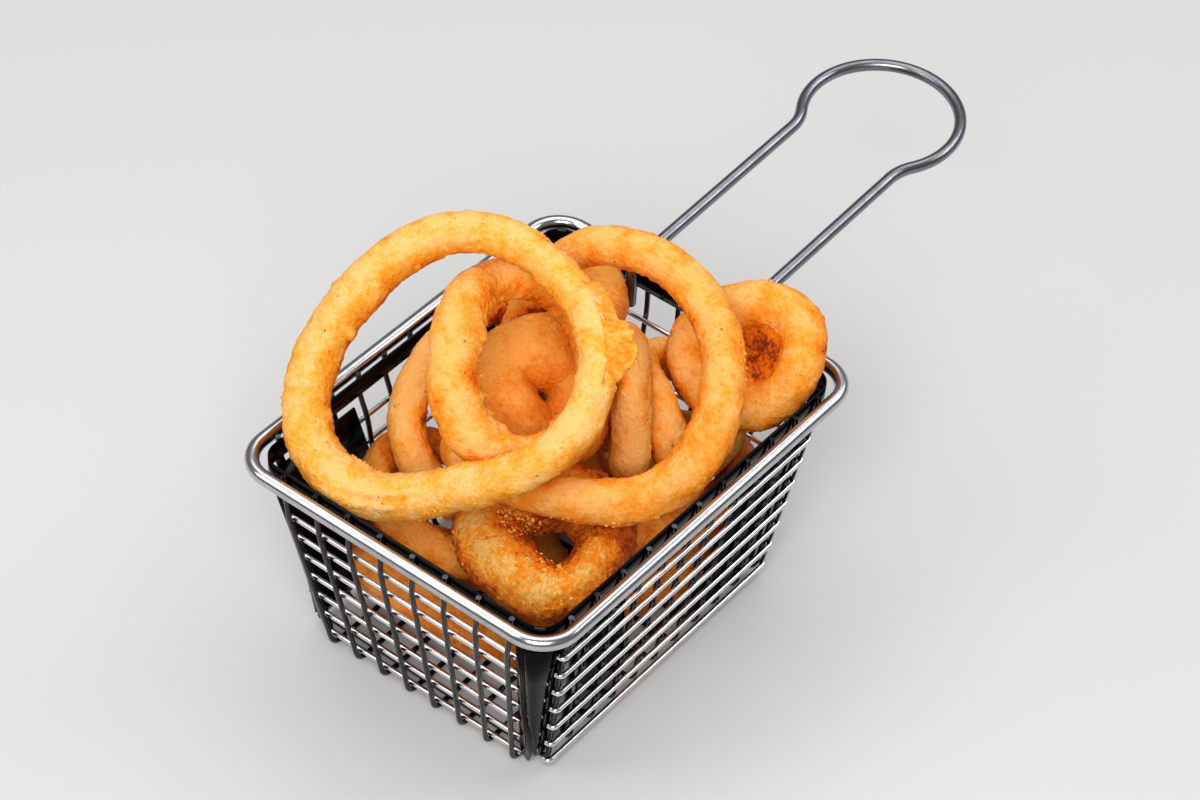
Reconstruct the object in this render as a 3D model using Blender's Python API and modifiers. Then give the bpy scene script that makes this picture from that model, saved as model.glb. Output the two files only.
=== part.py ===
"""Onion rings heaped in a small wire serving basket with a long loop handle.

Metres, +Z up. The basket stands on its floor wires at z = 0, the handle points to +Y and the width lies
along X. Everything is built about the middle of the basket, and then moved together so that the middle of
the whole object's box is above the origin.
"""

import math

import bmesh
import bpy
from mathutils import Matrix, Vector

MM = 0.001

# Rim and walls, in millimetres. Depths run down from the centre line of the rim wire.
RIM_LENGTH = 130.0  # centre line of the rim wire, along Y
RIM_WIDTH = 102.9
RIM_HEIGHT = 67.6
RIM_WIRE = 4.0
RIM_CORNER = 10.0
CORNER_STEPS = 5
WALL_INSET = 2.2  # from the rim's centre line in to the level wires, at the rim's height
LONG_WALL_LEAN = 9.3  # how far a long wall leans in from rim to floor
SHORT_WALL_LEAN = 14.1

# Wire mesh, in millimetres
MESH_WIRE = 1.4
MESH_LAYER = 1.7  # from one layer of wires to the next
FIRST_ROW = 14.83  # depth of the first level wire
ROW_PITCH = 8.09
ROWS = 7
ROW_END = 1.8  # how far the level wires run past the last upright
SHORT_WALL_HALF = (37.6, 31.0)  # from the middle of a wall to its last upright, at the rim and at the floor
LONG_WALL_HALF = (52.2, 44.9)
LENGTHWISE_WIRES = 8
CROSSWISE_WIRES = 11
TIP_INSET = 3.0  # the upright wires end here, just inside the rim
TIP_RISE = 1.2
FLOOR_BEND = 2.2
LENGTHWISE_FLOOR = 0.7  # height of the floor wires' centre lines
CROSSWISE_FLOOR = 2.4

# Sheet metal, in millimetres
BAND_SHEET = 0.5
BAND_INSET = 4.25
BAND_DEPTH = 5.0
CORNER_SHEET = 0.6
SHEET_TOP = 5.6  # depth of the upper edge of everything that hangs below the band
FLANGE_BOTTOM = 64.6
FLANGE_LAP = 0.2  # how far a flange is sunk into the level wires
SHORT_WALL_FLANGE = (1.0, 3.4)  # its two edges, past the last upright
LONG_WALL_FLANGE = (1.0, 2.3)
SEAM = 0.35  # between a flange and a corner plate
WING_INSET = 3.0  # from the level wires' plane in to the part of a corner plate that backs a long wall
WING_EDGE = (27.1, 12.9)  # from the middle of a long wall to that part's edge, at the rim and at the floor
CORNER_ROUND = (0.75, 6.0)  # of a corner plate: share of its short side, length on its long side
CORNER_TURNS = 3
# Depth, and how far the edges are cut back there
CORNER_LEVELS = ((SHEET_TOP, 0.0), (55.0, 0.0), (60.0, 0.5), (62.0, 1.3))

# Handle, in millimetres
HANDLE_WIRE = 3.5
HANDLE_HALF = 16.9  # half the distance between the legs
HANDLE_OFFSET = -2.2
HANDLE_LIFT = 4.05  # above the rim's centre line, where the legs cross it
HANDLE_TILT = 3.0  # degrees above level
LEG_STRAIGHT = 66.4  # from the rim to where the legs begin to open
LOOP_RADIUS = 22.6
NECK_RADIUS = 14.0
LEG_INSET = 6.7  # where the legs turn down inside the far wall
LEG_BEND = 3.0
LEG_DROP = 14.0

# Rings
STATIONS = 24
UNEVEN = 0.035  # the most that a tube thins between its fat places

CHROME = ((0.60, 0.60, 0.62), 0.16, 1.0)  # colour, roughness, metallic
SHEET_CHROME = ((0.52, 0.52, 0.54), 0.10, 1.0)
BATTER = {
    "pale": ((0.76, 0.42, 0.13), 0.55, 0.0),
    "golden": ((0.70, 0.34, 0.08), 0.52, 0.0),
    "deep": ((0.55, 0.22, 0.045), 0.50, 0.0),
}


def clear_scene():
    for item in list(bpy.data.objects):
        bpy.data.objects.remove(item)


def collection(name, helper=False):
    made = bpy.data.collections.new(name)
    made.hide_render = helper
    bpy.context.scene.collection.children.link(made)
    return made


def material(name, finish):
    colour, roughness, metallic = finish
    made = bpy.data.materials.new(name)
    made.use_nodes = True
    shader = made.node_tree.nodes["Principled BSDF"]
    shader.inputs["Base Color"].default_value = (*colour, 1.0)
    shader.inputs["Roughness"].default_value = roughness
    shader.inputs["Metallic"].default_value = metallic
    return made


def place(name, data, finish, parent, home):
    made = bpy.data.objects.new(name, data)
    data.materials.append(material(name, finish))
    made.parent = parent
    home.objects.link(made)
    return made


def wire(name, points, thickness, finish, parent, home, cyclic=False, radii=None, square=False):
    """A wire through the points, in millimetres. A square one has its flats level and upright."""
    curve = bpy.data.curves.new(name, "CURVE")
    curve.dimensions = "3D"
    curve.use_fill_caps = True
    curve.bevel_resolution = 0 if square else 2
    curve.bevel_depth = thickness / 2 * MM * (math.sqrt(2) if square else 1)
    curve.twist_mode = "Z_UP" if square else "MINIMUM"
    spline = curve.splines.new("POLY")
    spline.points.add(len(points) - 1)
    spline.use_cyclic_u = cyclic
    for number, (point, position) in enumerate(zip(spline.points, points)):
        point.co = (*(Vector(position) * MM), 1.0)
        point.tilt = math.radians(45) if square else 0.0
        point.radius = radii[number] if radii else 1.0
    return place(name, curve, finish, parent, home)


def arc(centre, radius, start, stop, steps):
    """Points of an arc in a plane, with its angles in degrees."""
    angles = [math.radians(start + (stop - start) * step / steps) for step in range(steps + 1)]
    return [(centre[0] + radius * math.cos(a), centre[1] + radius * math.sin(a)) for a in angles]


def rounded_rectangle(inset):
    """The rim's outline in plan, moved in by the inset."""
    radius = RIM_CORNER - inset
    reach_x = RIM_WIDTH / 2 - RIM_CORNER
    reach_y = RIM_LENGTH / 2 - RIM_CORNER
    outline = []
    for side_x, side_y, start in ((1, 1, 0), (-1, 1, 90), (-1, -1, 180), (1, -1, 270)):
        outline += arc((side_x * reach_x, side_y * reach_y), radius, start, start + 90, CORNER_STEPS)
    return outline


def share(depth):
    """0 at the rim's centre line and 1 at the floor."""
    return depth / RIM_HEIGHT


def between(ends, depth):
    return ends[0] + (ends[1] - ends[0]) * share(depth)


def rim(parent, home):
    points = [(x, y, RIM_HEIGHT) for x, y in rounded_rectangle(0.0)]
    wire("rim", points, RIM_WIRE, CHROME, parent, home, cyclic=True)


def solidify(item, thickness):
    shell = item.modifiers.new("sheet", "SOLIDIFY")
    shell.thickness = thickness * MM
    shell.offset = 0.0


def band(parent, home):
    """The thin strip that runs round just inside the rim and covers the ends of the uprights."""
    build = bmesh.new()
    lower = [build.verts.new((x * MM, y * MM, -BAND_DEPTH * MM)) for x, y in rounded_rectangle(BAND_INSET)]
    edges = [build.edges.new((lower[number - 1], lower[number])) for number in range(len(lower))]
    raised = bmesh.ops.extrude_edge_only(build, edges=edges)
    upper = [part for part in raised["geom"] if isinstance(part, bmesh.types.BMVert)]
    bmesh.ops.translate(build, verts=upper, vec=(0, 0, (BAND_DEPTH + TIP_RISE) * MM))
    bmesh.ops.recalc_face_normals(build, faces=build.faces)
    mesh = bpy.data.meshes.new("band")
    build.to_mesh(mesh)
    build.free()
    made = place("band", mesh, SHEET_CHROME, parent, home)
    made.location.z = RIM_HEIGHT * MM
    solidify(made, BAND_SHEET)


def add_bar(build, size, centre, slant=0.0):
    """A box in a wall's own plane, in millimetres. The slant moves it sideways as it goes down."""
    turn = Matrix.Identity(4)
    turn[0][2] = -slant
    bmesh.ops.create_cube(
        build, size=MM, matrix=Matrix.Translation(Vector(centre) * MM) @ turn @ Matrix.Diagonal((*size, 1.0))
    )


def side_grid(name, half_gap, lean, halves, flange, heading, parent, home, joiners):
    """The level wires of one wall, joined to a narrow flange of sheet along each end.

    It is built in the wall's own plane, X along the wall and Z up its slope, and then leaned and turned.
    """
    slope = math.atan2(lean, RIM_HEIGHT)
    rows = bmesh.new()
    for row in range(ROWS):
        depth = FIRST_ROW + row * ROW_PITCH
        length = 2 * (between(halves, depth) + ROW_END)
        add_bar(rows, (length, MESH_WIRE, MESH_WIRE), (0, 0, -depth / math.cos(slope)))
    row_mesh = bpy.data.meshes.new(name + "_rows")
    rows.to_mesh(row_mesh)
    rows.free()
    row_object = bpy.data.objects.new(name + "_rows", row_mesh)
    row_object.display_type = "WIRE"
    row_object.hide_render = True
    joiners.objects.link(row_object)

    flanges = bmesh.new()
    top, bottom = SHEET_TOP / math.cos(slope), FLANGE_BOTTOM / math.cos(slope)
    middle = (SHEET_TOP + FLANGE_BOTTOM) / 2
    inward = MESH_WIRE / 2 - FLANGE_LAP + CORNER_SHEET / 2
    slant = (halves[1] - halves[0]) / RIM_HEIGHT * math.cos(slope)
    for side in (-1, 1):
        along = side * (between(halves, middle) + sum(flange) / 2)
        size = (flange[1] - flange[0], CORNER_SHEET, bottom - top)
        add_bar(flanges, size, (along, inward, -(top + bottom) / 2), side * slant)
    mesh = bpy.data.meshes.new(name)
    flanges.to_mesh(mesh)
    flanges.free()
    made = place(name, mesh, CHROME, parent, home)
    join = made.modifiers.new("level wires", "BOOLEAN")
    join.operation = "UNION"
    join.object = row_object

    turned = Matrix.Rotation(math.radians(heading), 3, "Z")
    for item in (made, row_object):
        item.parent = parent
        item.rotation_euler = (slope, 0, math.radians(heading))
        item.location = turned @ Vector((0, -half_gap, RIM_HEIGHT)) * MM


def side_grids(parent, home, joiners):
    short_wall = (RIM_LENGTH / 2 - WALL_INSET, SHORT_WALL_LEAN, SHORT_WALL_HALF, SHORT_WALL_FLANGE)
    long_wall = (RIM_WIDTH / 2 - WALL_INSET, LONG_WALL_LEAN, LONG_WALL_HALF, LONG_WALL_FLANGE)
    walls = (("front", short_wall), ("right", long_wall), ("back", short_wall), ("left", long_wall))
    for quarter, (name, wall) in enumerate(walls):
        side_grid("grid_" + name, *wall, 90 * quarter, parent, home, joiners)


def bent_wire_side(half_gap, lean, layer, floor):
    """(distance from the middle, depth) of one side of a wire that goes down a wall and along the floor."""

    def wall(depth):
        return half_gap - WALL_INSET - lean * share(depth) - layer

    knee = FIRST_ROW - MESH_WIRE
    bottom = RIM_HEIGHT - floor
    return [
        (half_gap - TIP_INSET, -TIP_RISE),
        (half_gap - TIP_INSET, SHEET_TOP),
        (wall(knee), knee),
        (wall(bottom - FLOOR_BEND), bottom - FLOOR_BEND),
        (wall(bottom) - FLOOR_BEND, bottom),
    ]


def bent_wires(name, count, side, halves, lengthwise, parent, home):
    """One layer of the mesh: each wire runs down a wall, along the floor and up the opposite wall.

    The wires fan out, so each is drawn flat, along X and up Y, and its plane is then leaned from the floor.
    """
    for number in range(count):
        spread = 2 * number / (count - 1) - 1
        fan = math.atan2(spread * (halves[0] - halves[1]), RIM_HEIGHT)
        half = [(along, (RIM_HEIGHT - depth) / math.cos(fan), 0.0) for along, depth in side]
        other = [(-along, up, 0.0) for along, up, _ in reversed(half)]
        made = wire(f"{name}_{number + 1}", half + other, MESH_WIRE, CHROME, parent, home, square=True)
        across = spread * halves[1] * MM
        if lengthwise:
            made.location.x = across
            made.rotation_euler = (math.radians(90) + fan, 0, math.radians(90))
        else:
            made.location.y = across
            made.rotation_euler.x = math.radians(90) - fan


def mesh_wires(parent, home):
    lengthwise = bent_wire_side(RIM_LENGTH / 2, SHORT_WALL_LEAN, -MESH_LAYER, LENGTHWISE_FLOOR)
    bent_wires("lengthwise", LENGTHWISE_WIRES, lengthwise, SHORT_WALL_HALF, True, parent, home)
    crosswise = bent_wire_side(RIM_WIDTH / 2, LONG_WALL_LEAN, MESH_LAYER, CROSSWISE_FLOOR)
    bent_wires("crosswise", CROSSWISE_WIRES, crosswise, LONG_WALL_HALF, False, parent, home)


def corner_section(depth, trim):
    """A corner plate in plan, at +X +Y, from a short wall's flange to far along a long wall."""
    inward = MESH_WIRE / 2 - FLANGE_LAP + CORNER_SHEET / 2 + WALL_INSET
    outer_x = RIM_WIDTH / 2 - WALL_INSET - WING_INSET - LONG_WALL_LEAN * share(depth)
    outer_y = RIM_LENGTH / 2 - inward - SHORT_WALL_LEAN * share(depth)
    start_x = between(SHORT_WALL_HALF, depth) + SHORT_WALL_FLANGE[1] + SEAM + trim
    round_x = (outer_x - start_x) * CORNER_ROUND[0]
    round_y = CORNER_ROUND[1]
    turn = arc((0.0, 0.0), 1.0, 90, 0, CORNER_TURNS)
    bend = [(outer_x - round_x + round_x * x, outer_y - round_y + round_y * y) for x, y in turn]
    return [(start_x, outer_y), *bend, (outer_x, between(WING_EDGE, depth) + trim)]


def corner_plate(name, side_x, side_y, parent, home):
    """A bent sheet that closes the basket's corner, with a rounded lower end."""
    build = bmesh.new()
    rows = []
    for depth, trim in CORNER_LEVELS:
        section = corner_section(depth, trim)
        rows.append([build.verts.new((side_x * x * MM, side_y * y * MM, -depth * MM)) for x, y in section])
    for upper, lower in zip(rows, rows[1:]):
        for number in range(len(upper) - 1):
            build.faces.new((upper[number], upper[number + 1], lower[number + 1], lower[number]))
    bmesh.ops.recalc_face_normals(build, faces=build.faces)
    mesh = bpy.data.meshes.new(name)
    build.to_mesh(mesh)
    build.free()
    made = place(name, mesh, SHEET_CHROME, parent, home)
    made.location.z = RIM_HEIGHT * MM
    solidify(made, CORNER_SHEET)


def corner_plates(parent, home):
    for end, side_y in (("front", -1), ("back", 1)):
        for hand, side_x in (("left", -1), ("right", 1)):
            corner_plate(f"corner_{end}_{hand}", side_x, side_y, parent, home)


def handle_half():
    """Half of the handle's centre line in its own plane, from the inner end to the far end of the loop.

    The leg turns down inside the basket, crosses the rim at Y = 0 and opens into the loop by a reverse bend.
    """
    down = math.tan(math.radians(HANDLE_TILT))
    elbow = arc((-LEG_INSET + LEG_BEND, -LEG_BEND), LEG_BEND, 180, 90, 4)
    end = (-LEG_INSET - down * (LEG_DROP - LEG_BEND), -LEG_DROP)
    leg = [(HANDLE_HALF, y, z) for y, z in (end, *elbow)]
    apart = LOOP_RADIUS + NECK_RADIUS
    opening = math.degrees(math.acos((HANDLE_HALF + NECK_RADIUS) / apart))
    loop_y = LEG_STRAIGHT + apart * math.sin(math.radians(opening))
    neck = arc((HANDLE_HALF + NECK_RADIUS, LEG_STRAIGHT), NECK_RADIUS, 180, 180 - opening, 3)
    loop = arc((0.0, loop_y), LOOP_RADIUS, -opening, 90, 7)
    return leg + [(x, y, 0.0) for x, y in neck + loop[1:]]


def handle(parent, home):
    half = handle_half()
    other = [(-x, y, z) for x, y, z in reversed(half[:-1])]
    made = wire("handle", half + other, HANDLE_WIRE, CHROME, parent, home)
    made.location = Vector((HANDLE_OFFSET, RIM_LENGTH / 2, RIM_HEIGHT + HANDLE_LIFT)) * MM
    made.rotation_euler.x = math.radians(HANDLE_TILT)


def wave(ripple, count, angle):
    """A ripple of (height, direction in degrees) that goes round the ring a whole number of times."""
    return ripple[0] * math.cos(count * (angle - math.radians(ripple[1])))


def lump(angle, direction):
    """0 to 1: where the batter is thin, with uneven spacing."""
    spread = math.sin(3 * angle + direction) + math.sin(5 * angle + 2.3 * direction)
    return (spread + 2) / 4


def ring(parent, home, name, at, tilt, heading, radius, thick, shade="golden", swell=(0, 0), oval=(0, 0),
         egg=(0, 0), warp=(0, 0), twist=(0, 0)):
    """A battered onion ring: a closed uneven tube, in millimetres and degrees.

    at: its middle. tilt, heading: it is tipped about X, and then turned about Z.
    radius, thick: of the tube's centre line, and of the tube.
    swell: how much fatter the tube is on one side, as a share, and the direction of that side.
    oval, egg: two and three bulges of the centre line, as a share of the radius, and their direction.
    warp, twist: two and three rises out of its plane, in millimetres, and their direction.
    """
    points = []
    radii = []
    for station in range(STATIONS):
        angle = 2 * math.pi * station / STATIONS
        reach = radius * (1 + wave(oval, 2, angle) + wave(egg, 3, angle))
        rise = wave(warp, 2, angle) + wave(twist, 3, angle)
        points.append((reach * math.cos(angle), reach * math.sin(angle), rise))
        radii.append((1 + wave(swell, 1, angle)) * (1 - UNEVEN * lump(angle, heading)))
    made = wire(name, points, 2 * thick, BATTER[shade], parent, home, cyclic=True, radii=radii)
    made.location = Vector(at) * MM
    made.rotation_euler = (math.radians(tilt), 0, math.radians(heading))


def rings(parent, home):
    """The heap, from the top down."""
    ring(parent, home, "ring_top", (-13.6, -24.6, 94.6), tilt=39, heading=-4, radius=37.4, thick=5.8,
         shade="pale", swell=(0.13, -132), oval=(0.095, 43), egg=(0.085, 6), warp=(3.6, 2), twist=(0.7, 3))
    ring(parent, home, "ring_inner", (-5.5, -5.6, 87.7), tilt=36, heading=99, radius=24.1, thick=5.9,
         swell=(0.11, 155), oval=(0.115, 14), egg=(0.035, -30), warp=(1.3, 78), twist=(1.3, 9))
    ring(parent, home, "ring_leaning", (2.8, 11.8, 73.9), tilt=33, heading=-14, radius=36.3, thick=5.6,
         swell=(0.12, 9), oval=(0.045, 56), egg=(0.03, -9), warp=(9.5, -68), twist=(4.6, 29))
    ring(parent, home, "ring_thick", (-10.3, 9.2, 63.7), tilt=34, heading=57, radius=11.8, thick=9.8,
         swell=(0.05, 87), oval=(0.025, -28), warp=(0.8, 10), twist=(1.3, -40))
    ring(parent, home, "ring_far_corner", (25.9, 50.9, 71.1), tilt=44, heading=19, radius=14.7, thick=6.4,
         swell=(0.04, 145), oval=(0.065, 33), egg=(0.04, -57), warp=(1.3, -6), twist=(0.6, 5))
    ring(parent, home, "ring_near_corner", (17.1, -20.8, 50.3), tilt=8, heading=53, radius=15.6, thick=8.2,
         swell=(0.12, 127), egg=(0.095, 27), warp=(1.2, 81), twist=(1.3, -44))
    ring(parent, home, "ring_slice_a", (5.3, 25.2, 59.8), tilt=90, heading=136, radius=15.8, thick=5.1,
         swell=(0.08, 178), oval=(0.1, 30), warp=(1, -87))
    ring(parent, home, "ring_slice_b", (15.0, 38.1, 55.0), tilt=40, heading=118, radius=14.7, thick=5.5,
         swell=(0.06, -138), oval=(0.05, 31), egg=(0.025, -36), warp=(2.2, -68), twist=(1.7, 29))
    ring(parent, home, "ring_edge", (-25.5, 5.2, 53.7), tilt=45, heading=77, radius=25.0, thick=5.2,
         oval=(0.185, 32), egg=(0.03, 19), warp=(3, -36), twist=(2.1, -27))
    ring(parent, home, "ring_back", (-27.26, 40.5, 54.52), tilt=42, heading=19, radius=14.3, thick=5.8,
         shade="deep", swell=(0.04, 6), oval=(0.25, 88), egg=(0.075, -31), warp=(3.2, 54), twist=(1.1, 15))
    ring(parent, home, "ring_front", (-19.8, -18.25, 40.45), tilt=16, heading=55, radius=17.5, thick=5.1,
         shade="deep", swell=(0.07, -90), oval=(0.105, -55), egg=(0.055, 37), warp=(2.5, -17),
         twist=(1.5, 4))
    ring(parent, home, "ring_side", (14.34, 27.02, 35.78), tilt=1, heading=19, radius=21.7, thick=6.2,
         shade="deep", oval=(0.04, 56), egg=(0.115, 25), warp=(0.5, 47), twist=(0.5, 31))
    ring(parent, home, "ring_low_middle", (-1.3, 2.01, 23.32), tilt=1, heading=9, radius=19.8, thick=6.0,
         shade="deep", warp=(0.4, -36))
    ring(parent, home, "ring_low_front", (-8.3, -28.7, 20.8), tilt=-33, heading=-9, radius=23.7, thick=6.2,
         shade="deep", oval=(0.04, 0), egg=(0.015, 21), warp=(1, -80), twist=(0.5, -34))
    ring(parent, home, "ring_low_back", (6.27, 22.75, 12.43), tilt=7, heading=-3, radius=21.5, thick=6.4,
         shade="deep")


def centre_box(parent, home):
    """Moves everything so that the whole box stands at z = 0 with its middle above the origin."""
    bpy.context.view_layer.update()
    graph = bpy.context.evaluated_depsgraph_get()
    corners = []
    for item in home.objects:
        if item.type == "EMPTY":
            continue
        evaluated = item.evaluated_get(graph)
        mesh = evaluated.to_mesh()
        corners += [evaluated.matrix_world @ vertex.co for vertex in mesh.vertices]
        evaluated.to_mesh_clear()
    lowest = [min(corner[axis] for corner in corners) for axis in range(3)]
    highest = [max(corner[axis] for corner in corners) for axis in range(3)]
    parent.location = (-(lowest[0] + highest[0]) / 2, -(lowest[1] + highest[1]) / 2, -lowest[2])


def main():
    clear_scene()
    home = collection("onion_rings_basket")
    joiners = collection("joined_wires", helper=True)
    serving = bpy.data.objects.new("serving", None)
    home.objects.link(serving)
    rim(serving, home)
    band(serving, home)
    side_grids(serving, home, joiners)
    mesh_wires(serving, home)
    corner_plates(serving, home)
    handle(serving, home)
    rings(serving, home)
    centre_box(serving, home)


main()
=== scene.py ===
# %% [markdown]
# # Onion rings in a small wire serving basket
#
# A serving of battered onion rings stands in a chromed wire basket with a long loop handle. The real thing
# is two crafts in one: a cage of thin bright wires, all of one thickness and very regular, and a heap of
# fried batter, where no two places are alike. So the cage is drawn with curves from a few sizes, and the
# rings are skins made point by point, which is the only way to give each of them its own lumps, creases
# and torn edges.
#
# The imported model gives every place. It is loaded first, and each finer piece is then laid over its solid.

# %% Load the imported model
import math
import random

import bmesh
import bpy
import numpy as np
from mathutils import Matrix, Vector, noise
from mathutils.bvhtree import BVHTree


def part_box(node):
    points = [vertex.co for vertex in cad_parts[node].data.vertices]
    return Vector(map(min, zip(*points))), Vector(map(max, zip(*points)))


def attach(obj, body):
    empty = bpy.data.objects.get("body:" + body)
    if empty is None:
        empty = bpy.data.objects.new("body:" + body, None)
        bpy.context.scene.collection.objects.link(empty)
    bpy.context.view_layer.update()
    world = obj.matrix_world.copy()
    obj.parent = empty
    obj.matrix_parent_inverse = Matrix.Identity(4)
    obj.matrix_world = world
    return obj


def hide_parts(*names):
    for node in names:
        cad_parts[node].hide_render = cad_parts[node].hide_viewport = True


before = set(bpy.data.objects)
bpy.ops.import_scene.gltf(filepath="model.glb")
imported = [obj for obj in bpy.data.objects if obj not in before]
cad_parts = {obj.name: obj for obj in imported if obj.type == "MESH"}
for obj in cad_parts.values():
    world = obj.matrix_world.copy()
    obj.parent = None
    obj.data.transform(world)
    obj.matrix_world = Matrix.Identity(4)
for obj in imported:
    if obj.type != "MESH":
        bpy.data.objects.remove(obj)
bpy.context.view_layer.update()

MM = 0.001
rings = sorted(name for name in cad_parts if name.startswith("ring_"))
print("rings in the heap:", len(rings))

# %% [markdown]
# ## Where the basket is
#
# Everything on the basket is measured from the middle of its rim, because the rim is the one closed frame
# that all the other wires meet. Its box gives the wire's thickness at once, as the box is exactly one wire
# high. The lean of the walls and the pitch of the mesh are the basket's own sizes, in millimetres.

# %% Measure the rim
rim_low, rim_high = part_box("rim")
RIM_WIRE = rim_high.z - rim_low.z
RIM_MIDDLE = (rim_low + rim_high) / 2
HALF_WIDTH = (rim_high.x - rim_low.x - RIM_WIRE) / 2
HALF_LENGTH = (rim_high.y - rim_low.y - RIM_WIRE) / 2
RIM_CORNER = 10 * MM
print("rim centre line, mm:", round(HALF_WIDTH * 2000, 1), "by", round(HALF_LENGTH * 2000, 1))

# %% [markdown]
# ## Camera
#
# The view is a three-quarter one from above, over the near corner, with the handle running away to the
# right. A long lens keeps the basket's sides nearly parallel. The camera is placed from the rim's middle,
# so that it follows the basket, and it is turned by three angles: pan, tilt and roll.

# %% Place the camera
CAMERA_FROM_RIM = Vector((403.7, -540.2, 650.9)) * MM
CAMERA_TURN, CAMERA_TILT, CAMERA_ROLL = 35.73, 43.62, 3.87
LENS = 107.93


def add_object(name, data):
    """A new object in the scene."""
    made = bpy.data.objects.new(name, data)
    bpy.context.scene.collection.objects.link(made)
    return made


camera_data = bpy.data.cameras.new("camera")
camera_data.lens = LENS
camera_data.sensor_width = 36
camera = add_object("camera", camera_data)
turn = Matrix.Rotation(math.radians(CAMERA_TURN), 4, "Z")
tilt = Matrix.Rotation(math.radians(90 - CAMERA_TILT), 4, "X")
roll = Matrix.Rotation(math.radians(CAMERA_ROLL), 4, "Z")
camera.matrix_world = Matrix.Translation(RIM_MIDDLE + CAMERA_FROM_RIM) @ turn @ tilt @ roll
bpy.context.scene.camera = camera
print("camera stands", round(CAMERA_FROM_RIM.length, 2), "m away")

# %% [markdown]
# ## Table and light
#
# A plain pale table, and soft light from large panels. Chrome has no colour of its own: it shows the room.
# So the room is kept dim and the panels are few, large and bright, which gives every wire one white line
# beside a dark one. The strongest panel stands in front and to the right, above the basket's near corner. A
# wider and weaker one hangs overhead, and two more only put a second line on the wires.

# %% Make the table
TABLE_HALF = 3.0  # in metres
TABLE_TONE = 0.56


def new_material(name):
    """(material, its nodes, its links, its shader)"""
    made = bpy.data.materials.new(name)
    made.use_nodes = True
    nodes, links = made.node_tree.nodes, made.node_tree.links
    return made, nodes, links, nodes["Principled BSDF"]


pale_table, _, _, table_shader = new_material("pale table")
table_shader.inputs["Base Color"].default_value = (TABLE_TONE, TABLE_TONE, TABLE_TONE, 1)
table_shader.inputs["Roughness"].default_value = 0.7
table_mesh = bpy.data.meshes.new("table")
table_shape = bmesh.new()
bmesh.ops.create_grid(table_shape, x_segments=1, y_segments=1, size=TABLE_HALF)
table_shape.to_mesh(table_mesh)
table_shape.free()
table_mesh.materials.append(pale_table)
table = add_object("table", table_mesh)
print("table:", 2 * TABLE_HALF, "m wide")

# %% Hang the lights
ROOM_COLOUR = (0.86, 0.84, 0.82, 1)
ROOM_STRENGTH = 0.26


def panel(name, place, aim, size, watts):
    """A soft light of that width and height, in metres, facing the point it is aimed at."""
    light = bpy.data.lights.new(name, "AREA")
    light.shape = "RECTANGLE"
    light.size, light.size_y = size
    light.energy = watts
    lamp = add_object(name, light)
    lamp.location = place
    lamp.rotation_euler = (Vector(aim) - Vector(place)).to_track_quat("-Z", "Y").to_euler()


panel("overhead", (-0.28, 0.18, 1.0), (0, -0.05, 0.06), (1.1, 0.8), 5.4)
panel("front", (0.45, -0.80, 0.95), (0, -0.05, 0.05), (0.75, 0.6), 13.6)
panel("front_left", (-0.52, -0.72, 0.82), (0, -0.05, 0.05), (0.5, 0.7), 3.2)
panel("behind", (0.42, 0.74, 0.80), (0, -0.05, 0.06), (0.8, 0.4), 4.0)

world = bpy.data.worlds.new("room")
world.use_nodes = True
world.node_tree.nodes["Background"].inputs["Color"].default_value = ROOM_COLOUR
world.node_tree.nodes["Background"].inputs["Strength"].default_value = ROOM_STRENGTH
bpy.context.scene.world = world
bpy.context.scene.view_settings.view_transform = "Standard"

# %% [markdown]
# ## Chromed steel
# The plating is bright, but hand-dipped in hot oil and washed many times, so it has faint smears that make
# the gloss uneven and fine waves that break up long reflections. Both come from noise in the roughness and
# in the bump. All the wire and sheet is one steel, but it comes in copies of unlike brightness that paint
# light and shade into it. The rim keeps chrome's own brightness. The level wires are painted brighter, a
# painted highlight. The handle and the uprights are painted darker, and the sheet pieces almost black, a
# painted dark reflection. Both come from noise in the roughness and
# in the bump. The sheet pieces are darker, because a flat plate mirrors one dark part of the room at a time.

# %% Helpers for shader nodes
def noise_node(nodes, links, scale, detail=3.0, roughness=0.55, coordinates=None):
    """Noise at a scale given as bumps per metre, fixed to the object's own space."""
    if coordinates is None:
        coordinates = nodes.new("ShaderNodeTexCoord").outputs["Object"]
    made = nodes.new("ShaderNodeTexNoise")
    made.inputs["Scale"].default_value = scale
    made.inputs["Detail"].default_value = detail
    made.inputs["Roughness"].default_value = roughness
    links.new(coordinates, made.inputs["Vector"])
    return made.outputs["Fac"]


def ramp_node(nodes, links, value, stops):
    """Colour stops as (position, colour)."""
    made = nodes.new("ShaderNodeValToRGB")
    while len(made.color_ramp.elements) < len(stops):
        made.color_ramp.elements.new(1.0)
    for element, (position, colour) in zip(made.color_ramp.elements, stops):
        element.position = position
        element.color = (*colour, 1)
    links.new(value, made.inputs["Fac"])
    return made.outputs["Color"]


def range_node(nodes, links, value, low, high, to_low, to_high):
    """The value, stretched so that low and high become the two new ends."""
    made = nodes.new("ShaderNodeMapRange")
    links.new(value, made.inputs["Value"])
    for socket, amount in (("From Min", low), ("From Max", high), ("To Min", to_low), ("To Max", to_high)):
        made.inputs[socket].default_value = amount
    return made.outputs["Result"]


def bump_node(nodes, links, height, strength, distance, below=None):
    """Bumps from a height, laid over the bumps below where there are any."""
    made = nodes.new("ShaderNodeBump")
    made.inputs["Strength"].default_value = strength
    made.inputs["Distance"].default_value = distance
    links.new(height, made.inputs["Height"])
    if below is not None:
        links.new(below, made.inputs["Normal"])
    return made.outputs["Normal"]


print("node helpers: noise, ramp, range, bump")

# %% Chrome finishes
SMEARED = 0.80  # how bright a smear is beside clean plating
WAVE_HEIGHT = 0.12 * MM


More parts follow.
